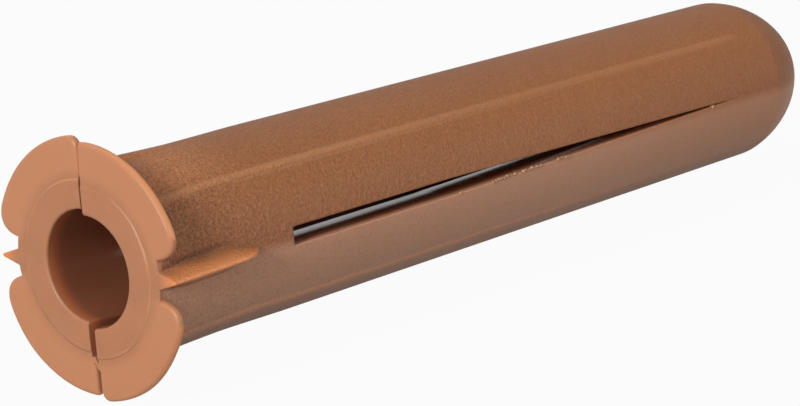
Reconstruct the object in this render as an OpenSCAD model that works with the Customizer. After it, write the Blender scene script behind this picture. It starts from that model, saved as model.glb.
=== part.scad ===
// Universal wall plug: one plastic moulding, in millimetres.
// The mouth is at x = 0 and the closed nose points along +X.
// The two slots and the two fins are on +Y and -Y, the two splits on +Z and -Z.

/* [Body] */
// Diameter of the body at the mouth
body_d = 7; // [6.4:0.1:8]
// Diameter of the round land behind the fins, which sits in the drilled hole
land_d = 6.84; // [6.5:0.02:6.9]
// Length of the land
land_len = 3.2; // [2:0.1:3.4]
// Diameter of the body where the nose begins
nose_d = 6.2; // [5.8:0.1:6.3]
// Whole length, mouth to nose
length = 38.3; // [36:0.1:46]
// Length of the rounded nose
nose_len = 3.45; // [3.2:0.05:5]
// How sharply the surface turns where the nose begins, in degrees
nose_turn = 9; // [0:1:14]
// Radius of the ball at the tip, as a share of the radius where the nose begins
tip_share = 0.77; // [0.6:0.01:0.8]

/* [Bore] */
// Diameter of the straight part of the bore, at the mouth
bore_d = 4; // [3.4:0.1:4.4]
// Length of the straight part of the bore
bore_straight = 6.4; // [6:0.1:8]
// Diameter of the bore at its blind end
bore_end_d = 2; // [1.4:0.1:2.6]
// Solid length left between the blind end of the bore and the tip
tip_wall = 5; // [4:0.25:7]
// Radius that eases the edge of the mouth
mouth_edge = 0.12; // [0.05:0.01:0.2]

/* [Flange] */
// Diameter over the four lobes
flange_d = 9.12; // [8.8:0.04:9.6]
// Thickness of the lobes
flange_t = 0.28; // [0.24:0.02:0.5]
// Radius on the front edge of the rim
rim_front = 0.15; // [0.08:0.01:0.16]
// Radius on the back edge of the rim
rim_back = 0.06; // [0.03:0.01:0.08]
// How far the end of the body stands in front of the lobes
face_step = 0.04; // [0.02:0.01:0.1]

/* [Notches beside the fins] */
// Half width of a notch where it meets the body
notch_half = 0.7; // [0.6:0.02:0.9]
// How much each side of a notch opens outwards, in degrees
notch_flare = 11; // [0:1:20]
// Corner radius of the lobes at a notch
notch_corner = 0.74; // [0.4:0.02:0.8]

/* [Splits through the mouth] */
// Width of the lower split
split_low = 0.28; // [0.2:0.02:0.4]
// Width of the upper split
split_top = 0.12; // [0.08:0.02:0.2]
// Depth of both splits, from the mouth
split_depth = 5.9; // [4.5:0.1:6.2]
// Thickness of the skin left outside each split
skin = 0.25; // [0.2:0.01:0.4]
// Width of the gap between two lobes below the lower split
gap_low = 0.14; // [0.1:0.02:0.2]
// Width of the gap between two lobes above the upper split
gap_top = 0.05; // [0.04:0.01:0.1]
// Corner radius of the lobes at the lower split
gap_corner_low = 0.34; // [0.15:0.01:0.4]
// Corner radius of the lobes at the upper split
gap_corner_top = 0.22; // [0.15:0.01:0.4]

/* [Fins] */
// Height of a fin above the body, at the mouth
fin_h = 0.82; // [0.7:0.02:1.2]
// Width of a fin at its foot
fin_w = 0.6; // [0.5:0.02:0.8]
// Width of the flat along the crest of a fin, at the mouth
fin_crest_w = 0.06; // [0.04:0.01:0.1]
// Length of a fin along the body
fin_len = 4.95; // [4:0.05:5.4]

/* [Slots] */
// Distance of the slots from the mouth
slot_start = 6.8; // [6.6:0.05:8]
// Width of a slot in its parallel part
slot_w = 0.65; // [0.5:0.05:0.9]
// Length of the parallel part of a slot
slot_parallel = 8.6; // [6:0.2:12]
// Length of the whole slot
slot_len = 25; // [20:0.1:25.5]

/* [Ribs] */
// Half the thickness of the round rod that a rib is cut from
rib_r = 0.18; // [0.14:0.01:0.24]
// Height of a rib behind the flange
rib_h = 0.09; // [0.06:0.01:0.12]
// Height of a rib at its far end
rib_end_h = 0.02; // [0.02:0.01:0.04]
// Distance of the far end of the ribs from the mouth
rib_end = 33.3; // [28:0.1:33.4]
// Angle between a rib and the plane of the fins, in degrees
rib_angle = 44.5; // [35:0.5:55]

/* [Hidden] */
$fn = 96;
eps = 0.01;
body_r = body_d / 2;
land_r = land_d / 2;
base_r = nose_d / 2;
bore_r = bore_d / 2;
flange_r = flange_d / 2;
nose_x = length - nose_len;
land_x = fin_len + 0.05;
land_end = land_x + land_len;
tip_r = tip_share * base_r;
ball_x = nose_len - tip_r;
// Radius of the arc that leaves the body at the given turn and touches the ball at the tip
side_arc = (ball_x * ball_x + base_r * base_r - tip_r * tip_r)
    / (2 * (base_r * cos(nose_turn) - tip_r - ball_x * sin(nose_turn)));
// Centre of that arc, and the distance from the start of the nose at which it hands over
arc_r = base_r - side_arc * cos(nose_turn);
arc_x = -side_arc * sin(nose_turn);
touch_x = arc_x + (ball_x - arc_x) * side_arc / (side_arc - tip_r);
bore_tip_r = bore_end_d / 2;
bore_end = length - tip_wall - bore_tip_r;
flange_back = face_step + flange_t;
split_r = body_r - skin;
rib_x = face_step + flange_t / 2;
brown = [0.60, 0.40, 0.29];

// Radius of the body at a distance x from the mouth: a taper to the land,
// the land itself, then a long taper to the nose
function body_at(x) = x < land_x ? body_r - (body_r - land_r) * x / land_x
    : x < land_end ? land_r
    : land_r - (land_r - base_r) * (x - land_end) / (nose_x - land_end);

// Places the profile of a turned shape, drawn with its radius to the right
// and its length upwards, so that its axis is +X
module along_x() {
    rotate([0, 90, 0])
        rotate([0, 0, 90])
            rotate_extrude()
                children();
}

// Outline of the body: eased front edge, land behind the fins, long taper
module body_profile() {
    polygon([
        [0, 0],
        [body_r - 0.36, 0],
        [body_r - 0.2, face_step],
        [body_r - 0.12, face_step + 0.02],
        [body_at(face_step + 0.16), face_step + 0.16],
        [land_r, land_x],
        [land_r, land_end],
        [base_r, nose_x],
        [0, nose_x]
    ]);
}

// Outline of the nose: a side arc that starts on the body, then a ball
module nose_profile() {
    translate([0, nose_x]) {
        intersection() {
            translate([arc_r, arc_x])
                circle(r = side_arc);
            square([base_r, touch_x]);
        }
        intersection() {
            translate([0, ball_x])
                circle(r = tip_r);
            translate([0, eps])
                square([base_r, nose_len]);
        }
    }
}

// Straight mouth, tapering core and round blind end
module bore() {
    translate([-1, 0, 0])
        rotate([0, 90, 0])
            cylinder(r = bore_r, h = bore_straight + 1);
    translate([bore_straight, 0, 0])
        rotate([0, 90, 0])
            cylinder(r1 = bore_r, r2 = bore_tip_r, h = bore_end - bore_straight);
    translate([bore_end, 0, 0])
        sphere(r = bore_tip_r);
    along_x()
        mouth_profile();
}

// Material taken off where the bore meets the front face
module mouth_profile() {
    difference() {
        translate([bore_r - eps, -eps])
            square([mouth_edge + eps, mouth_edge + eps]);
        translate([bore_r + mouth_edge, mouth_edge])
            circle(r = mouth_edge);
    }
}

// Full disc of the flange with its eased rim
module disc_profile() {
    translate([0, face_step]) {
        square([flange_r - rim_front, flange_t]);
        translate([0, rim_front])
            square([flange_r, flange_t - rim_front - rim_back]);
        translate([flange_r - rim_front, rim_front])
            circle(r = rim_front);
        translate([0, flange_t - rim_front])
            square([flange_r - rim_back, rim_front]);
        translate([flange_r - rim_back, flange_t - rim_back])
            circle(r = rim_back);
    }
}

// Distance along the side of a gap to the centre of its corner circle
function corner_run(p, q, reach) = -(p[0] * q[0] + p[1] * q[1])
    + sqrt(pow(p[0] * q[0] + p[1] * q[1], 2) - (p[0] * p[0] + p[1] * p[1]) + reach * reach);

// One side of a gap between two lobes, with the rounded corner of the lobe
// half is the half width at the body, flare opens the gap, side is 1 or -1
module gap_side(half, flare, corner, side) {
    q = [cos(flare), sin(flare)];
    n = [-sin(flare), cos(flare)];
    p = [body_r, half] + corner * n;
    c = p + corner_run(p, q, flange_r - corner) * q;
    foot = c - (corner + eps) * n;
    rim = c * (flange_r + 1) / (flange_r - corner);
    far = [flange_r + 1, 0];
    polygon([for (v = [[bore_r, 0], [bore_r, half - (body_r - bore_r) * tan(flare)], foot, far]) [v[0], side * v[1]]]);
    difference() {
        polygon([for (v = [c, foot, far, rim]) [v[0], side * v[1]]]);
        translate([c[0], side * c[1]])
            circle(r = corner);
    }
}

// Whole gap, cut through the flange only, turned to its place
module gap(turn, half, flare, corner) {
    rotate([turn, 0, 0])
        translate([-1, 0, 0])
            rotate([90, 0, 90])
                linear_extrude(height = flange_back + 2) {
                    gap_side(half, flare, corner, 1);
                    gap_side(half, flare, corner, -1);
                }
}

// Four lobes round the mouth
module flange() {
    difference() {
        along_x()
            disc_profile();
        gap(0, notch_half, notch_flare, notch_corner);
        gap(180, notch_half, notch_flare, notch_corner);
        gap(90, gap_top / 2, 0, gap_corner_top);
        gap(270, gap_low / 2, 0, gap_corner_low);
    }
}

// One fin on +Y: a three-cornered bar whose crest runs down to the body,
// with a round end in plan
module fin() {
    crest = body_r + fin_h;
    fall = atan((crest - body_at(fin_len)) / (fin_len - face_step));
    lean = (fin_w - fin_crest_w) / 2 / fin_h;
    root = body_r - 0.3;
    root_half = fin_w / 2 + 0.3 * lean;
    difference() {
        translate([face_step, 0, 0])
            rotate([90, 0, 90])
                linear_extrude(height = fin_len)
                    polygon([
                        [root, -root_half],
                        [crest, -fin_crest_w / 2],
                        [crest, fin_crest_w / 2],
                        [root, root_half]
                    ]);
        translate([face_step, crest, 0])
            rotate([0, 0, -fall])
                translate([-1, 0, -1])
                    cube([fin_len + 3, 2, 2]);
        difference() {
            translate([fin_len - root_half, 0, -1])
                cube([2, crest + 1, 2]);
            translate([fin_len - root_half, -1, 0])
                rotate([-90, 0, 0])
                    cylinder(r = root_half, h = crest + 3);
        }
    }
}

// One slot through the wall on +Y
module slot() {
    half = slot_w / 2;
    translate([0, bore_r * 0.2, 0])
        rotate([-90, 0, 0])
            linear_extrude(height = body_r)
                polygon([[slot_start, -half], [slot_start + slot_parallel, -half * 0.95],
                         [slot_start + slot_len, -0.01], [slot_start + slot_len, 0.01],
                         [slot_start + slot_parallel, half * 0.95], [slot_start, half]]);
}

// Blind split on one side of the mouth, from the bore out to the skin
module split(width, side) {
    translate([-1, -width / 2, side > 0 ? 0 : -split_r])
        cube([split_depth + 1, width, split_r]);
}

// Raised rib: a thin round rod that sinks slowly into the body
module rib(turn) {
    near = body_at(rib_x) + rib_h - rib_r;
    tail = body_at(rib_end) + rib_end_h - rib_r;
    run = rib_end - rib_x;
    lean = atan((near - tail) / run);
    rotate([turn, 0, 0])
        translate([rib_x, near, 0])
            rotate([0, 0, -lean])
                rotate([0, 90, 0])
                    cylinder(r = rib_r, h = run / cos(lean));
}

module wall_plug() {
    color(brown)
        difference() {
            union() {
                along_x() {
                    body_profile();
                    nose_profile();
                }
                flange();
                fin();
                rotate([180, 0, 0])
                    fin();
                rib(rib_angle);
                rib(-rib_angle);
                rib(180 - rib_angle);
                rib(180 + rib_angle);
            }
            bore();
            slot();
            rotate([180, 0, 0])
                slot();
            split(split_top, 1);
            split(split_low, -1);
        }
}

wall_plug();
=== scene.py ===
# Universal wall plug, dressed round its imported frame
# Sizes are in millimetres and turned into metres where a mesh is made. The lamps and the
# floor are in metres. The mouth is at x = 0 and the closed nose points along +X, the slots
# and fins are on +Y and -Y, and the two splits of the mouth on +Z and -Z. Left and right
# are as seen when the mouth is looked into, so left is +Y and right is -Y.
import math

import bmesh
import bpy
import numpy as np
from mathutils import Euler, Matrix, Vector


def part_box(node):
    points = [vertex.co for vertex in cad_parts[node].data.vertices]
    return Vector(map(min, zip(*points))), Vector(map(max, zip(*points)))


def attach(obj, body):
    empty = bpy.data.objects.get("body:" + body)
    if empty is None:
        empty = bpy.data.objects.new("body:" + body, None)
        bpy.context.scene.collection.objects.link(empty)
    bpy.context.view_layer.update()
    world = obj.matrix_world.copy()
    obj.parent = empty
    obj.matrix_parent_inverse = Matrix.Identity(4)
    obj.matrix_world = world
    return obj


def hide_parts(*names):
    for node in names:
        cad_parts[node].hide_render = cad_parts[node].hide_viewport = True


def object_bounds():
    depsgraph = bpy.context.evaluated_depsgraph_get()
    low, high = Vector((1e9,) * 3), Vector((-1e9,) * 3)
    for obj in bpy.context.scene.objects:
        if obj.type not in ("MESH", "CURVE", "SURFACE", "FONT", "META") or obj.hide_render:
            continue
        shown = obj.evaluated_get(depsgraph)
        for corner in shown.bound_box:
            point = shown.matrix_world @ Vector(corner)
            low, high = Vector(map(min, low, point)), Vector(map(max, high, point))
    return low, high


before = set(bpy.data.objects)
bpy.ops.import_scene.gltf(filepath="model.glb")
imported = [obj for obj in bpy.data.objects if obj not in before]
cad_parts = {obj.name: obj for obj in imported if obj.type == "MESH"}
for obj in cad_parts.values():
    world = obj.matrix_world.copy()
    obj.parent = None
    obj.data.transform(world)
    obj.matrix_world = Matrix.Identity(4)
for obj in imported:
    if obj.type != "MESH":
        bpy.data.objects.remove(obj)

cad_low, cad_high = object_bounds()
MM = 0.001

# Body and nose, as in the part's source
LENGTH, FIN_TOP, FLANGE_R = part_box("wall_plug")[1] / MM
BODY_R = 3.5
LAND_R = 3.42
LAND_START = 5.0
LAND_END = 8.2
NOSE_R = 3.1
NOSE_LEN = 3.45
NOSE_START = LENGTH - NOSE_LEN
NOSE_TURN = math.radians(9)
TIP_R = 0.77 * NOSE_R
FACE_EASE = 0.05

# Bore: a straight mouth, a short lead down to the core, and a long taper to a round end
BORE_R = 2.0
BORE_STRAIGHT = 6.4
BORE_LEAD = 7.6
BORE_CORE_R = 1.36
BORE_END_R = 1.0
TIP_WALL = 5
BORE_END = LENGTH - TIP_WALL - BORE_END_R
BORE_EASE = 0.12

# Splits, and the fine closing line on the face above the upper one
SPLIT_DEPTH = 5.9
SPLIT_REACH = 3.25
SPLIT_LOW_HALF = 0.14
SPLIT_TOP_HALF = 0.035
SPLIT_LOW_Y = 0.06
SPLIT_EASE = 0.03
LINE_HALF = 0.03
LINE_START_Z = 3.1
LINE_FLATTEN = 0.6

# Flange: the face stands a little behind the ring round the bore
FACE_STEP = 0.04
RING_R = 3.05
RING_SLOPE = 0.05
FLANGE_BACK = 0.32
RIM_FRONT_EASE = 0.17
RIM_BACK_EASE = 0.06
NOTCH_HALF = 0.7
NOTCH_FLARE = math.radians(11)
NOTCH_EASE = 1.0

# Gaps between the lobes at the splits: the upper one is closed, so it is less than nought
GAP_TOP_HALF = -0.01
GAP_LOW_HALF = 0.07

# How far the corner of each lobe at a split is eased
CORNER_TOP_LEFT = 0.55
CORNER_TOP_RIGHT = 0.2
CORNER_LOW_LEFT = 0.15
CORNER_LOW_RIGHT = 0.42

# How much further the two lower lobes reach, and the depths below the axis between which
# that sets in
LONGER_LOW_LEFT = 0.1
LONGER_LEFT_RUN = (1.0, 3.5)
LONGER_LOW_RIGHT = 0.05
LONGER_RIGHT_RUN = (2.5, 4.2)

# Fins: half widths at the foot, the crest and the end, and where each stretch begins
FIN_LEN = 4.95
FIN_HALF = 0.3
FIN_WIDENING = 0.12
FIN_WIDENING_RUN = (0.2, 1.4)
FIN_EDGE = 0.04
FIN_END_HALF = 0.02
FIN_LEAST_RISE = 0.04
FIN_DRAW_START = 3.1
FIN_DRAW_POWER = 1.5
FIN_DROP_START = 3.5
FIN_CREST_EASE = 0.07
FIN_END_EASE = 0.05
FIN_FRONT_EASE = 0.04

# Slots, whose walls spread towards the bore, slowly at first and faster from a depth on
SLOT_START = 6.8
SLOT_BEND = SLOT_START + 8.6
SLOT_END = SLOT_START + 25
SLOT_HALF = 0.325
SLOT_BEND_HALF = 0.95 * SLOT_HALF
SLOT_DRAFT = 0.02
SLOT_BULGE = 0.055
SLOT_BULGE_DEPTH = 0.85
SLOT_THIN_HALF = 0.1
SLOT_INNER_Y = 0.4
SLOT_EASE = 0.06

# Ribs
RIB_R = 0.18
RIB_H = 0.11
RIB_END_H = 0.02
RIB_START = FACE_STEP + 0.1
RIB_START_EASE = 0.05
RIB_END = 33.3
RIB_END_EASE = 0.2
RIB_ANGLES = [math.radians(a) for a in (44.5, 135.5, 224.5, 315.5)]

# Fillets where the flange, the fins and the ribs stand on the body. The first two are
# nearly nought at the face and grow over a run behind it.
FOOT_LEAST = 0.01
FLANGE_FOOT = 0.1
FLANGE_FOOT_RUN = (0.15, 0.4)
FIN_FOOT = 0.07
FIN_FOOT_RUN = (0.1, 1.2)
RIB_FOOT = 0.025

# How far the two halves of the mouth are set off from each other, how far from the mouth
# that fades out, and half the width of the strip in which it changes over
LIFT_LEFT = 0.1
DROP_RIGHT = 0.12
OFFSET_DEPTH = 6.5
OFFSET_POWER = 1.5
OFFSET_STRIP = 0.06

# Where flash is left on the edge of the near slot, from and to along the axis
FLASH_RUNS = [(15.55, 15.65), (17.4, 18.7), (19.2, 20.2), (21.1, 21.9), (30.5, 30.7)]
CRUMB_SPACING = 0.09
CRUMB_SIZES = (0.035, 0.085)
CRUMB_SHIFT_X = 0.04
CRUMB_SHIFT_Z = 0.02
CRUMB_STAND = 0.01
CRUMB_DENT = 0.08

# How a point is settled on the surface, and over what distance its slope is taken. The nose
# takes it over a longer one, so that the hand-over from arc to ball is soft in the shading.
SETTLE_ROUNDS = 4
LONGEST_MOVE = 0.05
SLOPE_REACH = 0.004
SOFT_NOSE_START = NOSE_START + 1.2
SOFT_NOSE_REACH = 0.6


def smooth_max(a, b, ease):
    """The larger of two distances, with the edge between them eased."""
    share = np.clip(0.5 + 0.5 * (a - b) / ease, 0, 1)
    return b + (a - b) * share + ease * share * (1 - share)


def smooth_min(a, b, ease):
    """The smaller of two distances, with the corner between them filled."""
    return -smooth_max(-a, -b, ease)


def fade(x, start, end):
    """0 before start, 1 after end, and smooth between them."""
    t = np.clip((x - start) / (end - start), 0, 1)
    return t * t * (3 - 2 * t)


def close_to(distance, reach):
    """1 where a distance is nought or less, 0 from reach on, and smooth between them."""
    return 1 - fade(distance, 0.0, reach)


def body_radius(x):
    """Radius of the body at a distance x from the mouth, up to the nose."""
    return np.interp(x, [0, LAND_START, LAND_END, NOSE_START], [BODY_R, LAND_R, LAND_R, NOSE_R])


def body(x, r):
    """The turned body: two tapers with a land between them, a side arc and a ball at the tip."""
    ball_x = NOSE_LEN - TIP_R
    side_arc = (ball_x**2 + NOSE_R**2 - TIP_R**2) / (
        2 * (NOSE_R * math.cos(NOSE_TURN) - TIP_R - ball_x * math.sin(NOSE_TURN)))
    arc_r = NOSE_R - side_arc * math.cos(NOSE_TURN)
    arc_x = -side_arc * math.sin(NOSE_TURN)
    touch_x = arc_x + (ball_x - arc_x) * side_arc / (side_arc - TIP_R)
    along = x - NOSE_START
    arc = np.hypot(along - arc_x, r - arc_r) - side_arc
    ball = np.hypot(along - ball_x, r) - TIP_R
    taper = r - body_radius(x)
    side = np.where(along > touch_x, ball, np.where(along > 0, arc, taper))
    front = FACE_STEP * fade(r, RING_R, RING_R + RING_SLOPE) - x
    return smooth_max(side, front, FACE_EASE)


def flange(x, y, z, r):
    """Four lobes: a thin disc, rounded where the notches and the gaps cut it."""
    left = y > 0
    top = z > 0
    notch = (np.abs(z) - NOTCH_HALF) * math.cos(NOTCH_FLARE)
    notch = notch - (np.abs(y) - BODY_R) * math.sin(NOTCH_FLARE)
    gap_half = np.where(top, GAP_TOP_HALF, GAP_LOW_HALF)
    corner_top = np.where(left, CORNER_TOP_LEFT, CORNER_TOP_RIGHT)
    corner_low = np.where(left, CORNER_LOW_LEFT, CORNER_LOW_RIGHT)
    corner = np.where(top, corner_top, corner_low)
    longer = np.where(left, LONGER_LOW_LEFT * fade(-z, *LONGER_LEFT_RUN),
                      LONGER_LOW_RIGHT * fade(-z, *LONGER_RIGHT_RUN))
    outline = smooth_max(r - FLANGE_R - longer, -notch, NOTCH_EASE)
    outline = smooth_max(outline, gap_half - np.abs(y), corner)
    lobes = smooth_max(outline, FACE_STEP - x, RIM_FRONT_EASE)
    return smooth_max(lobes, x - FLANGE_BACK, RIM_BACK_EASE)


def fin_crest(x):
    """Distance of the fin's crest from the axis: level at first, then curving down to the body."""
    drop = np.clip((x - FIN_DROP_START) / (FIN_LEN - FIN_DROP_START), 0, 1)
    return FIN_TOP - (FIN_TOP - LAND_R) * drop**2


def fin(x, y, z):
    """A three-cornered ridge on each side, drawn in to a rounded point at its end."""
    out = np.abs(y)
    crest = fin_crest(x)
    rise = np.maximum(crest - LAND_R, FIN_LEAST_RISE)
    drawn = np.clip((x - FIN_DRAW_START) / (FIN_LEN - FIN_DRAW_START), 0, 1)
    foot = FIN_HALF + FIN_WIDENING * fade(x, *FIN_WIDENING_RUN)
    foot = foot * (1 - drawn**FIN_DRAW_POWER) + FIN_END_HALF
    lean = np.maximum(foot - FIN_EDGE, 0) / rise
    down = np.minimum(crest - out, rise)
    flank = (np.abs(z) - FIN_EDGE - lean * down) / np.sqrt(1 + lean**2)
    bar = smooth_max(flank, out - crest, FIN_CREST_EASE)
    bar = smooth_max(bar, x - FIN_LEN, FIN_END_EASE)
    return smooth_max(bar, FACE_STEP - x, FIN_FRONT_EASE)


def rib(x, y, z, angle):
    """A thin round rod that sinks slowly into the body."""
    along = y * math.cos(angle) + z * math.sin(angle)
    across = z * math.cos(angle) - y * math.sin(angle)
    height = np.interp(x, [FACE_STEP, RIB_END], [RIB_H, RIB_END_H])
    rod = np.hypot(along - body_radius(x) - height + RIB_R, across) - RIB_R
    rod = smooth_max(rod, RIB_START - x, RIB_START_EASE)
    return smooth_max(rod, x - RIB_END, RIB_END_EASE)


def bore(x, r):
    """Straight mouth, a short lead down to the tapering core, and a round blind end."""
    radius = np.interp(x, [BORE_STRAIGHT, BORE_LEAD, BORE_END], [BORE_R, BORE_CORE_R, BORE_END_R])
    end = np.hypot(x - BORE_END, r) - BORE_END_R
    return np.where(x > BORE_END, end, r - radius)


def slot_half(x):
    """Half the width of a slot at the surface: nearly parallel first and then drawn to a point."""
    return np.interp(x, [SLOT_START, SLOT_BEND, SLOT_END], [SLOT_HALF, SLOT_BEND_HALF, 0.0])


def slot(x, y, z):
    """Long slots on both sides. Their walls draw apart a little towards the bore."""
    half = slot_half(x)
    deep = np.maximum(body_radius(x) - np.abs(y), 0)
    spread = SLOT_DRAFT * deep + SLOT_BULGE * np.maximum(deep - SLOT_BULGE_DEPTH, 0) ** 2
    half = half + spread * np.clip(half / SLOT_THIN_HALF, 0, 1)
    sides = smooth_max(np.abs(z) - half, SLOT_START - x, SLOT_EASE)
    return np.maximum(np.maximum(sides, x - SLOT_END), SLOT_INNER_Y - np.abs(y))


def split(x, y, z):
    """Blind splits above and below the bore, and the fine line above where the lobes meet."""
    top = z > 0
    half = np.where(top, SPLIT_TOP_HALF, SPLIT_LOW_HALF)
    across = np.abs(y - np.where(top, 0, SPLIT_LOW_Y)) - half
    cut = np.maximum(np.maximum(across, np.abs(z) - SPLIT_REACH), x - SPLIT_DEPTH)
    groove = np.hypot(y, LINE_FLATTEN * (x - FACE_STEP)) - LINE_HALF
    return np.minimum(cut, np.maximum(groove, LINE_START_Z - z))


def as_moulded(x, y, z):
    """Height of each point before the two halves of the mouth were set off from each other."""
    near = (1 - fade(x, 0, OFFSET_DEPTH)) ** OFFSET_POWER
    side = np.clip(y / OFFSET_STRIP, -1, 1)
    return z - near * np.where(side > 0, LIFT_LEFT * side, DROP_RIGHT * side)


def plug(x, y, z):
    """Distance from the surface of the moulding, less than nought inside it."""
    z = as_moulded(x, y, z)
    r = np.hypot(y, z)
    flange_foot = FOOT_LEAST + FLANGE_FOOT * fade(x, *FLANGE_FOOT_RUN)
    fin_foot = FOOT_LEAST + FIN_FOOT * fade(x, *FIN_FOOT_RUN)
    shape = smooth_min(body(x, r), flange(x, y, z, r), flange_foot)
    shape = smooth_min(shape, fin(x, y, z), fin_foot)
    for angle in RIB_ANGLES:
        shape = smooth_min(shape, rib(x, y, z, angle), RIB_FOOT)
    shape = smooth_max(shape, -bore(x, r), BORE_EASE)
    shape = smooth_max(shape, -split(x, y, z), SPLIT_EASE)
    return smooth_max(shape, -slot(x, y, z), SLOT_EASE)


def steps(*stretches):
    """Lattice positions: each stretch gives its start and end, and the step between."""
    rows = [np.arange(start, end - 0.3 * step, step) for start, end, step in stretches]
    return np.concatenate([*rows, [stretches[-1][1]]])


def lattice():
    """Positions along the axis, round it and out from it, closer where detail is."""
    # Flange, fins, ends of the splits, wide and narrow part of the slots, nose
    along = steps((-0.06, 0.5, 0.03), (0.5, 5.4, 0.17), (5.4, 7.2, 0.12), (7.2, 16, 0.6),
                  (16, NOSE_START - 0.4, 0.8), (NOSE_START - 0.4, LENGTH + 0.08, 0.13))
    # Degrees from just below the left fin, over it, a rib, the upper split and a rib, to just
    # above the right fin. The other half turn has the same steps.
    half_turn = [(-11, 11, 0.8), (11, 29, 1.2), (29, 41.5, 3), (41.5, 47.5, 0.6), (47.5, 85, 3),
                 (85, 88.8, 0.7), (88.8, 91.2, 0.35), (91.2, 95, 0.7), (95, 132.5, 3),
                 (132.5, 138.5, 0.6), (138.5, 151, 3), (151, 169, 1.2)]
    whole_turn = [(a + turn, b + turn, step) for turn in (0, 180) for a, b, step in half_turn]
    round_it = np.radians(steps(*whole_turn)[:-1])
    # Core, wall, outer skin, and flange with its fins
    out = steps((0.03, 1.1, 0.12), (1.1, 3.0, 0.11), (3.0, 3.7, 0.06),
                (3.7, FLANGE_R + DROP_RIGHT + 0.12, 0.075))
    return along, round_it, out


def crossings(field, axis):
    """Lattice edges along an axis that pass through the surface, where on each edge they do,
    and whether they start inside the plastic. Only the second axis closes on itself."""
    ahead = np.roll(field, -1, axis)
    inside = field < 0
    cut = inside != np.roll(inside, -1, axis)
    if axis != 1:
        last = [slice(None)] * 3
        last[axis] = -1
        cut[tuple(last)] = False
    at = np.argwhere(cut)
    low, high = field[cut], ahead[cut]
    return at, low / (low - high), low < 0


def skin(field):
    """One vertex for each lattice cell that the surface passes through, the quads between them,
    and the open pairs of vertices round each pole. The second axis closes on itself."""
    total = np.zeros((4, field.size))
    quads = []
    for axis in range(3):
        at, share, outward = crossings(field, axis)
        sides = [a for a in range(3) if a != axis]
        if axis == 1:
            sides.reverse()
        corners = []
        for first, second in ((1, 1), (0, 1), (0, 0), (1, 0)):
            offset = np.zeros((len(at), 3))
            offset[:, axis] = share
            cell = at.copy()
            for side, back in zip(sides, (first, second)):
                cell[:, side] -= back
                offset[:, side] = back
            cell[:, 1] %= field.shape[1]
            valid = (cell[:, 0] >= 0) & (cell[:, 2] >= 0)
            index = np.ravel_multi_index(np.maximum(cell, 0).T, field.shape)
            corners.append(np.where(valid, index, -1))
            for row, weight in enumerate((*offset.T, np.ones(len(at)))):
                total[row] += np.bincount(index[valid], weight[valid], field.size)
        ring = np.stack(corners, 1)
        ring[~outward] = ring[~outward][:, ::-1]
        quads.append(ring)
    quads = np.concatenate(quads)
    cells = np.flatnonzero(total[3])
    number = np.full(field.size + 1, -1)
    number[cells] = np.arange(len(cells))
    place = np.stack(np.unravel_index(cells, field.shape), 1)
    place = place + (total[:3, cells] / total[3, cells]).T
    whole = (quads >= 0).all(1)
    poles = quads[~whole]
    return place, number[quads[whole]], [number[p[p >= 0]] for p in poles]


def slope(points, reach=SLOPE_REACH):
    """Direction in which the distance grows fastest, and how fast."""
    rise = []
    for axis in range(3):
        step = np.zeros(3)
        step[axis] = reach
        rise.append(plug(*(points + step).T) - plug(*(points - step).T))
    rise = np.stack(rise, 1) / (2 * reach)
    return rise, np.maximum(np.linalg.norm(rise, axis=1), 1e-6)


def plug_mesh():
    """Vertices, faces, open pairs round the poles, and normals of the whole moulding."""
    along, round_it, out = lattice()
    angle = round_it[None, :, None]
    radius = out[None, None, :]
    y, z = radius * np.cos(angle), radius * np.sin(angle)
    field = np.concatenate([plug(np.full_like(y, x), y, z) for x in along])
    place, quads, poles = skin(field)
    x = np.interp(place[:, 0], np.arange(len(along)), along)
    turn = np.append(round_it, round_it[0] + 2 * math.pi)
    angle = np.interp(place[:, 1], np.arange(len(turn)), turn)
    radius = np.interp(place[:, 2], np.arange(len(out)), out)
    points = np.stack([x, radius * np.cos(angle), radius * np.sin(angle)], 1)
    for _ in range(SETTLE_ROUNDS):
        rise, rate = slope(points)
        miss = np.clip(plug(*points.T) / rate, -LONGEST_MOVE, LONGEST_MOVE)
        points -= rise * (miss / rate)[:, None]
    rise, rate = slope(points)
    on_nose = points[:, 0] > SOFT_NOSE_START
    rise[on_nose], rate[on_nose] = slope(points[on_nose], SOFT_NOSE_REACH)
    normals = rise / rate[:, None]
    return points, quads, poles, normals


def close_poles(points, normals, poles):
    """Centre points for the nose tip and the bore's blind end, and the triangles round them."""
    pairs = np.array(poles)
    at_tip = points[pairs[:, 0], 0] > BORE_END + 2 * BORE_END_R
    centres = np.array([[LENGTH, 0, 0], [BORE_END + BORE_END_R, 0, 0]])
    centre = len(points) + np.where(at_tip, 0, 1)
    points = np.concatenate([points, centres])
    normals = np.concatenate([normals, [[1, 0, 0], [-1, 0, 0]]])
    return points, normals, np.column_stack([pairs, centre])


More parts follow.
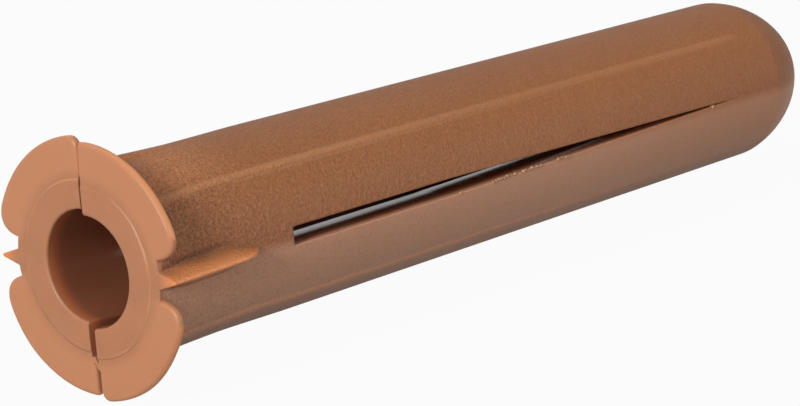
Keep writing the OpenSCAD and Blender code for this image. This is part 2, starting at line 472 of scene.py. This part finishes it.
def finish_masks(points):
    """Shares from 0 to 1 at each point, by name: where the skin and its mould grain are, the
    lobes, the painted glow on their rims and the painted highlight on the fins' crest line, the
    painted glow over the fins, the painted shade at their upper feet, painted glints on edges,
    the painted floor sheen on the lower half and painted light on the top, the inside, and the
    glow, the painted light on the lips and the polish of the walls in there."""
    x, y, z = points.T
    z = as_moulded(x, y, z)
    r = np.hypot(y, z)
    high = z / body_radius(x)
    depth = body_radius(x) - r
    to_fin = fin(x, y, z)
    to_flange = flange(x, y, z, r)
    behind_face = fade(x, 0.1, 0.3)

    # Skin of the body and the inside
    on_fin = close_to(to_fin, 0.05) * behind_face
    outside = fade(to_flange, 0.02, 0.1) * behind_face
    inside = fade(np.where(x < NOSE_START, depth, 0), 0.12, 0.5) * fade(x, 0.02, 0.3)

    # Lobes, and the painted glow on their thin rims
    on_lobe = close_to(to_flange, 0.1)
    lobe = on_lobe * fade(r, RING_R, RING_R + 0.5)
    rim = on_lobe * fade(r, FLANGE_R - 0.07, FLANGE_R - 0.02) * fade(x, 0.06, 0.14)

    # Fins: how far up the flank, the painted glow over the whole of it, the painted highlight on the
    # crest line, and the painted shade at the upper foot
    climb = (np.abs(y) - LAND_R) / np.maximum(fin_crest(x) - LAND_R, 0.1)
    crest = close_to(to_fin, 0.05) * fade(climb, 0.0, 1.0)
    crest_highlight = on_fin * fade(climb, 0.8, 0.95)
    # Painted shade at the fins' upper feet, close behind the flange
    foot_shade = (1 - fade(to_fin, 0.04, 0.24)) * (1 - fade(x, 2.4, 4.4)) * (z > 0) * outside * (1 - on_fin)

    # Painted glints on edges: the step round the ring, and the ribs, which are painted lighter on their
    # upper side, where the light falls
    ring = close_to(np.abs(r - RING_R - 0.01), 0.04)
    ridge = close_to(np.min([rib(x, y, z, a) for a in RIB_ANGLES], 0), 0.05)
    ridge = ridge * fade(x, 0.3, 0.5) * np.where(z > 0, 0.85 - 0.35 * fade(x, 8, 22), 0.15)
    edge = np.maximum(ring * (1 - fade(x, 0.04, 0.1)), ridge)

    # Grain, which is shallower on the fins, below, and towards the nose
    less_below = 1 - 0.4 * fade(-z, 0, 0.4)
    less_along = 1 - 0.5 * fade(x, 1.5, 7) - 0.2 * fade(x, 7, 30)
    grain = outside * (1 - inside) * (1 - 0.4 * on_fin) * less_below * less_along

    # Painted floor sheen on the lower half, and painted light on the top behind the flange
    lower = (1 - fade(z, -0.4, 0.1)) * (1 - fade(-high, 0.62, 0.92)) * outside * (1 - on_fin)
    lower = lower * (1 - 0.35 * fade(x, 20, 36))
    # Painted light: the top behind the flange painted paler, as if lit from above
    top_light = fade(high, 0.55, 0.9) * (1 - fade(x, 1.8, 6.5)) * outside

    # Walls inside: glow at the mouth, polish in the slots and painted light on the lips near their
    # edges
    glow = close_to(x, 0.8)
    polish = fade(x, SPLIT_DEPTH, SLOT_START)
    lip_light = (1 - fade(depth, 0.1, 0.95)) * polish
    return {"grain": grain, "rim": np.maximum(rim, crest_highlight), "lobe": lobe, "crest": crest,
            "inside": inside, "edge": edge * (1 - inside), "skin": outside, "lower": lower,
            "glow": glow, "foot_shade": foot_shade * (1 - inside), "top_light": top_light, "lip_light": lip_light,
            "polish": polish}


def place_piece(name, mesh):
    """Object for a mesh, at the origin of the frame."""
    piece = bpy.data.objects.new(name, mesh)
    bpy.context.collection.objects.link(piece)
    return piece


def add_moulding():
    """The whole plug as one moulded skin."""
    points, quads, poles, normals = plug_mesh()
    points, normals, fans = close_poles(points, normals, poles)
    faces = [*quads[:, ::-1].tolist(), *fans[:, ::-1].tolist()]
    mesh = bpy.data.meshes.new("moulded_plug")
    mesh.from_pydata((points * MM).tolist(), [], faces)
    mesh.shade_smooth()
    mesh.normals_split_custom_set_from_vertices(normals.tolist())
    for name, share in finish_masks(points).items():
        layer = mesh.attributes.new(name, "FLOAT", "POINT")
        layer.data.foreach_set("value", share.astype(np.float32))
    return place_piece("moulded_plug", mesh)


def add_flash():
    """Ragged crumbs of flash left on the lower edge of the near slot."""
    rng = np.random.default_rng(7)
    mesh = bpy.data.meshes.new("slot_flash")
    build = bmesh.new()
    for start, end in FLASH_RUNS:
        for x in np.arange(start, end, CRUMB_SPACING):
            size = rng.uniform(*CRUMB_SIZES)
            centre_x = x + rng.uniform(-CRUMB_SHIFT_X, CRUMB_SHIFT_X)
            centre_z = -slot_half(x) - rng.uniform(-CRUMB_SHIFT_Z, CRUMB_SHIFT_Z)
            centre = (centre_x, -body_radius(x) + CRUMB_STAND, centre_z)
            turn = Euler(rng.uniform(0, 3, 3)).to_matrix().to_4x4()
            stretch = Matrix.Diagonal((size, 0.6 * size, 0.5 * size, 1))
            crumb = Matrix.Translation(centre) @ turn @ stretch
            made = bmesh.ops.create_icosphere(build, subdivisions=2, radius=1.0, matrix=crumb)
            for vertex in made["verts"]:
                vertex.co += Vector(rng.normal(0, CRUMB_DENT * size, 3))
    bmesh.ops.scale(build, vec=(MM, MM, MM), verts=build.verts)
    build.to_mesh(mesh)
    build.free()
    mesh.shade_smooth()
    return place_piece("slot_flash", mesh)


class Nodes:
    """Short way to place nodes in a material or group and join them."""

    def __init__(self, tree):
        self.tree = tree

    def join(self, value, socket):
        """Link an output to a socket, or set the socket where the value is a constant."""
        if isinstance(value, bpy.types.NodeSocket):
            self.tree.links.new(value, socket)
        else:
            socket.default_value = value

    def add(self, kind, inputs=None, **settings):
        """New node with its settings made and its inputs joined."""
        node = self.tree.nodes.new(kind)
        for name, value in settings.items():
            setattr(node, name, value)
        for name, value in (inputs or {}).items():
            self.join(value, node.inputs[name])
        return node

    def math(self, operation, first, second=0.0):
        """Result of a sum, product or other operation on two values."""
        return self.add("ShaderNodeMath", {0: first, 1: second}, operation=operation).outputs[0]

    def blend(self, share, first, second):
        """Colour between two others: sockets 0, 6 and 7 are the share and the two colours."""
        inputs = {0: share, 6: first, 7: second}
        return self.add("ShaderNodeMix", inputs, data_type="RGBA").outputs[2]

    def tint(self, base, share, strength, shade):
        """Colour with a shade brought in over it, by a mask and a strength."""
        return self.blend(self.math("MULTIPLY", share, strength), base, shade)

    def spread(self, value, low, high, to_low=0.0, to_high=1.0):
        """Value brought from one range to another, and kept within it."""
        inputs = {"Value": value, "From Min": low, "From Max": high,
                  "To Min": to_low, "To Max": to_high}
        return self.add("ShaderNodeMapRange", inputs).outputs["Result"]

    def mask(self, name):
        """One of the shares that finish_masks gives each point."""
        return self.add("ShaderNodeAttribute", attribute_name=name).outputs["Fac"]

    def noise(self, place, scale, **more):
        """Noise with so many swells a metre. More inputs go by their own names."""
        inputs = {"Vector": place, "Scale": scale, **more}
        return self.add("ShaderNodeTexNoise", inputs).outputs["Fac"]

    def group(self, tree, inputs):
        """Outputs of a node group placed with its own inputs."""
        return self.add("ShaderNodeGroup", inputs, node_tree=tree).outputs

    def bump(self, height, distance):
        """Normal over a relief whose full height is the distance, in metres."""
        inputs = {"Strength": 1.0, "Distance": distance, "Height": height}
        return self.add("ShaderNodeBump", inputs).outputs["Normal"]


def new_group(name, inputs, outputs):
    """Empty shader group with number inputs and outputs, and the sockets of its two ends."""
    tree = bpy.data.node_groups.new(name, "ShaderNodeTree")
    for label, default in inputs.items():
        socket = tree.interface.new_socket(label, in_out="INPUT", socket_type="NodeSocketFloat")
        socket.default_value = default
    for label in outputs:
        tree.interface.new_socket(label, in_out="OUTPUT", socket_type="NodeSocketFloat")
    nodes = Nodes(tree)
    return nodes, nodes.add("NodeGroupInput").outputs, nodes.add("NodeGroupOutput").inputs


def spark_grain_group():
    """Fine pitted grain that a spark-eroded mould leaves: small round bumps of uneven size, with shares
    for painted shade in its pits and painted glints on its peaks.
    """
    nodes, given, out = new_group("Spark eroded grain", {"Amount": 1.0, "Bumps per metre": 7000.0},
                                  ("Height", "Pit shade", "Peak glint"))
    place = nodes.add("ShaderNodeTexCoord").outputs["Object"]
    bumps = nodes.noise(place, given["Bumps per metre"], Detail=2.0, Roughness=0.55)
    wider = nodes.math("MULTIPLY", given["Bumps per metre"], 0.37)
    swells = nodes.noise(place, wider, Detail=1.0)
    height = nodes.math("ADD", bumps, nodes.math("MULTIPLY", swells, 0.6))
    # Pit shade and peak glint are painted shade in the pits and painted glints on the peaks
    reliefs = {"Height": nodes.spread(height, 0.45, 1.15), "Pit shade": nodes.spread(bumps, 0.5, 0.36),
               "Peak glint": nodes.spread(bumps, 0.52, 0.66)}
    for label, relief in reliefs.items():
        nodes.join(nodes.math("MULTIPLY", relief, given["Amount"]), out[label])
    return nodes.tree


def melt_drift_group():
    """Slow change of shade along the flow of the plastic, and a finer mottle."""
    nodes, given, out = new_group("Melt drift", {"Mottles per metre": 900.0}, ("Drift", "Mottle"))
    place = nodes.add("ShaderNodeTexCoord").outputs["Object"]
    drawn = nodes.add("ShaderNodeMapping", {"Vector": place, "Scale": (0.25, 1.0, 1.0)})
    drift = nodes.noise(drawn.outputs["Vector"], 260.0, Detail=2.0)
    mottle = nodes.noise(place, given["Mottles per metre"], Detail=3.0)
    nodes.join(nodes.spread(drift, 0.32, 0.68), out["Drift"])
    nodes.join(nodes.spread(mottle, 0.3, 0.7), out["Mottle"])
    return nodes.tree


def colour(red, green, blue):
    """A screen colour, 0 to 255 a channel, as the linear values that a shader takes."""
    channels = [c / 255 for c in (red, green, blue)]
    return (*[((c + 0.055) / 1.055) ** 2.4 if c > 0.04 else c / 12.92 for c in channels], 1.0)


# Browns of the body, and of the painted floor sheen, the painted light on top, the painted shade and
# glints of the grain and the painted shade at the fins' feet
BODY_DARK = colour(156, 98, 57)
BODY_LIGHT = colour(164, 104, 62)
MOTTLE_BROWN = colour(150, 92, 54)
FLOOR_SHEEN_BROWN = colour(202, 150, 121)
TOP_LIGHT_BROWN = colour(200, 128, 80)
PIT_SHADE_BROWN = colour(90, 60, 44)
PEAK_GLINT_BROWN = colour(208, 152, 116)
FOOT_SHADE_BROWN = colour(92, 50, 36)

# Browns of the smooth face, the painted glints on edges, the lobes, and the painted glow on the fins'
# crests and the rims
SMOOTH_DARK = colour(164, 111, 79)
SMOOTH_LIGHT = colour(170, 116, 84)
EDGE_GLINT_BROWN = colour(205, 144, 98)
LOBE_BROWN = colour(182, 124, 88)
CREST_GLOW_BROWN = colour(217, 135, 77)
RIM_LIGHT_BROWN = colour(224, 150, 100)

# Browns of the walls inside, with the glow and the painted light on the lips, and of the flash
WALL_DARK = colour(134, 80, 58)
WALL_LIGHT = colour(146, 90, 64)
GLOW_BROWN = colour(205, 122, 78)
LIP_LIGHT_BROWN = colour(240, 158, 108)
FLASH_DARK = colour(176, 122, 84)
FLASH_LIGHT = colour(214, 164, 124)


def new_material(name):
    """Material with only a Principled shader joined to its output."""
    material = bpy.data.materials.new(name)
    material.use_nodes = True
    nodes = Nodes(material.node_tree)
    return material, nodes, material.node_tree.nodes["Principled BSDF"]


def let_light_through(shader, weight, reach):
    """Light spreads under the surface of the unfilled plastic, red the furthest."""
    shader.inputs["Subsurface Weight"].default_value = weight
    shader.inputs["Subsurface Radius"].default_value = (1.0, 0.4, 0.2)
    shader.inputs["Subsurface Scale"].default_value = reach


def moulded_skin(grain, drift):
    """Outer skin: matte grained body, smoother where the plastic is thin, with painted glow, sheen,
    glints and shade on it.
    """
    material, nodes, shader = new_material("Brown plastic skin")
    rough_share = nodes.mask("grain")
    eroded = nodes.group(grain, {"Amount": rough_share, "Bumps per metre": 10500.0})
    melt = nodes.group(drift, {"Mottles per metre": 900.0})
    base = nodes.blend(melt["Drift"], BODY_DARK, BODY_LIGHT)
    base = nodes.tint(base, melt["Mottle"], 0.2, MOTTLE_BROWN)
    # Painted floor sheen: the lower half painted paler, as the white floor would light it
    base = nodes.tint(base, nodes.mask("lower"), 0.8, FLOOR_SHEEN_BROWN)
    # Painted light on the top behind the flange
    base = nodes.tint(base, nodes.mask("top_light"), 0.9, TOP_LIGHT_BROWN)
    # Painted shade in the grain's pits and painted glints on its peaks
    base = nodes.tint(base, eroded["Pit shade"], 0.45, PIT_SHADE_BROWN)
    base = nodes.tint(base, eroded["Peak glint"], 0.35, PEAK_GLINT_BROWN)
    # Painted shade at the fins' upper feet, close behind the flange
    base = nodes.tint(base, nodes.mask("foot_shade"), 0.6, FOOT_SHADE_BROWN)
    smooth = nodes.blend(melt["Mottle"], SMOOTH_DARK, SMOOTH_LIGHT)
    base = nodes.blend(nodes.mask("skin"), smooth, base)
    # Painted glints on the ring step and on the ribs' upper sides
    base = nodes.tint(base, nodes.mask("edge"), 0.5, EDGE_GLINT_BROWN)
    base = nodes.tint(base, nodes.mask("lobe"), 0.8, LOBE_BROWN)
    # Painted glow through the thin fins
    base = nodes.tint(base, nodes.mask("crest"), 0.85, CREST_GLOW_BROWN)
    # Painted glow on the thin rims, and painted highlight on the fins' crest line
    base = nodes.tint(base, nodes.mask("rim"), 0.75, RIM_LIGHT_BROWN)
    nodes.join(base, shader.inputs["Base Color"])
    gloss = nodes.spread(rough_share, 0.0, 1.0, 0.38, 0.46)
    gloss = nodes.math("ADD", gloss, nodes.math("MULTIPLY", melt["Mottle"], 0.06))
    nodes.join(gloss, shader.inputs["Roughness"])
    nodes.join(nodes.bump(eroded["Height"], 0.00006), shader.inputs["Normal"])
    shader.inputs["Specular IOR Level"].default_value = 0.32
    let_light_through(shader, 0.3, 0.0003)
    return material


def inner_wall(grain, drift):
    """Walls of the bore, the slots and the splits, which the core of the mould leaves smooth."""
    material, nodes, shader = new_material("Brown plastic bore")
    eroded = nodes.group(grain, {"Amount": 0.25, "Bumps per metre": 5000.0})
    melt = nodes.group(drift, {"Mottles per metre": 700.0})
    base = nodes.blend(melt["Drift"], WALL_DARK, WALL_LIGHT)
    base = nodes.blend(nodes.mask("glow"), base, GLOW_BROWN)
    # Painted light on the lips of the slots near their edges
    base = nodes.blend(nodes.mask("lip_light"), base, LIP_LIGHT_BROWN)
    nodes.join(base, shader.inputs["Base Color"])
    nodes.join(nodes.spread(melt["Mottle"], 0.0, 1.0, 0.08, 0.13), shader.inputs["Roughness"])
    nodes.join(nodes.bump(eroded["Height"], 0.000004), shader.inputs["Normal"])
    shader.inputs["Specular IOR Level"].default_value = 0.9
    shader.inputs["Coat Roughness"].default_value = 0.08
    nodes.join(nodes.math("MULTIPLY", nodes.mask("polish"), 0.7), shader.inputs["Coat Weight"])
    let_light_through(shader, 0.45, 0.0005)
    return material


def flash_skin(drift):
    """Torn flash: thin, dry and pale."""
    material, nodes, shader = new_material("Pale flash")
    melt = nodes.group(drift, {"Mottles per metre": 6000.0})
    nodes.join(nodes.blend(melt["Mottle"], FLASH_DARK, FLASH_LIGHT), shader.inputs["Base Color"])
    shader.inputs["Roughness"].default_value = 0.5
    return material


def dress(piece, grain, drift):
    """Outer skin on the moulding, and the inner wall on faces that are mostly inside it."""
    piece.data.materials.append(moulded_skin(grain, drift))
    piece.data.materials.append(inner_wall(grain, drift))
    inside = np.zeros(len(piece.data.vertices), np.float32)
    piece.data.attributes["inside"].data.foreach_get("value", inside)
    for face in piece.data.polygons:
        face.material_index = int(inside[list(face.vertices)].mean() > 0.5)


def add_floor():
    """Plain white floor under the plug. It lightens for the camera and in reflections, and
    keeps part of its shadow."""
    half = 1.5
    level = min(cad_low[2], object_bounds()[0][2])
    grey = (0.4, 0.4, 0.4, 1)
    white_to_camera = 0.95
    white_in_mirror = 0.35
    corners = [(-half, -half, level), (half, -half, level), (half, half, level), (-half, half, level)]
    mesh = bpy.data.meshes.new("floor")
    mesh.from_pydata(corners, [], [(0, 1, 2, 3)])
    floor = place_piece("floor", mesh)
    material = bpy.data.materials.new("White floor")
    material.use_nodes = True
    nodes = Nodes(material.node_tree)
    nodes.tree.nodes.clear()
    paint = nodes.add("ShaderNodeBsdfDiffuse", {"Color": grey}).outputs[0]
    glow = nodes.add("ShaderNodeEmission", {"Color": (1, 1, 1, 1), "Strength": 1.0}).outputs[0]
    path = nodes.add("ShaderNodeLightPath").outputs
    mirrored = nodes.math("MAXIMUM", path["Is Glossy Ray"], path["Is Transmission Ray"])
    seen = nodes.math("MULTIPLY", path["Is Camera Ray"], white_to_camera)
    share = nodes.math("MAXIMUM", seen, nodes.math("MULTIPLY", mirrored, white_in_mirror))
    mixed = nodes.add("ShaderNodeMixShader", {0: share, 1: paint, 2: glow}).outputs[0]
    nodes.add("ShaderNodeOutputMaterial", {"Surface": mixed})
    mesh.materials.append(material)


def add_lamp(name, place, size, power):
    """Soft square lamp aimed at the middle of the plug. Places and sizes are in metres."""
    lamp = bpy.data.lights.new(name, "AREA")
    lamp.size = size
    lamp.energy = power
    holder = bpy.data.objects.new(name, lamp)
    aim = Vector((LENGTH * MM / 2, 0, 0)) - Vector(place)
    holder.rotation_euler = aim.to_track_quat("-Z", "Y").to_euler()
    holder.location = place
    bpy.context.collection.objects.link(holder)


def add_world(strength):
    """Plain white light from all sides."""
    world = bpy.data.worlds.new("Studio")
    world.use_nodes = True
    shade = world.node_tree.nodes["Background"]
    shade.inputs["Color"].default_value = (1, 1, 1, 1)
    shade.inputs["Strength"].default_value = strength
    bpy.context.scene.world = world


def add_camera():
    """Long lens at the photograph's angle, placed where the outline of the plug was fitted."""
    right = Vector((0.67229, -0.73599, -0.07965))
    up = Vector((0.20631, 0.08294, 0.97497))
    back = right.cross(up)
    place = Vector((-102.25, -111.65, 33.47)) * MM
    camera = bpy.data.cameras.new("Long lens")
    camera.lens = 202.5
    camera.sensor_width = 36
    camera.clip_start = 0.01
    holder = bpy.data.objects.new("Long lens", camera)
    turn = Matrix((right, up, back)).transposed().to_4x4()
    holder.matrix_world = Matrix.Translation(place) @ turn
    bpy.context.collection.objects.link(holder)
    bpy.context.scene.camera = holder


plug_piece = add_moulding()
grain_group = spark_grain_group()
drift_group = melt_drift_group()
dress(plug_piece, grain_group, drift_group)
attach(plug_piece, "root")
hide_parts("wall_plug")

flash_piece = add_flash()
flash_piece.data.materials.append(flash_skin(drift_group))
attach(flash_piece, "root")

add_floor()
add_lamp("key lamp", place=(-0.405, -0.09, 0.167), size=0.14, power=1.97)
add_lamp("side lamp", place=(0.2, -0.42, 0.1), size=0.16, power=0.36)
add_world(strength=0.42)
add_camera()
bpy.context.scene.view_settings.view_transform = "Standard"
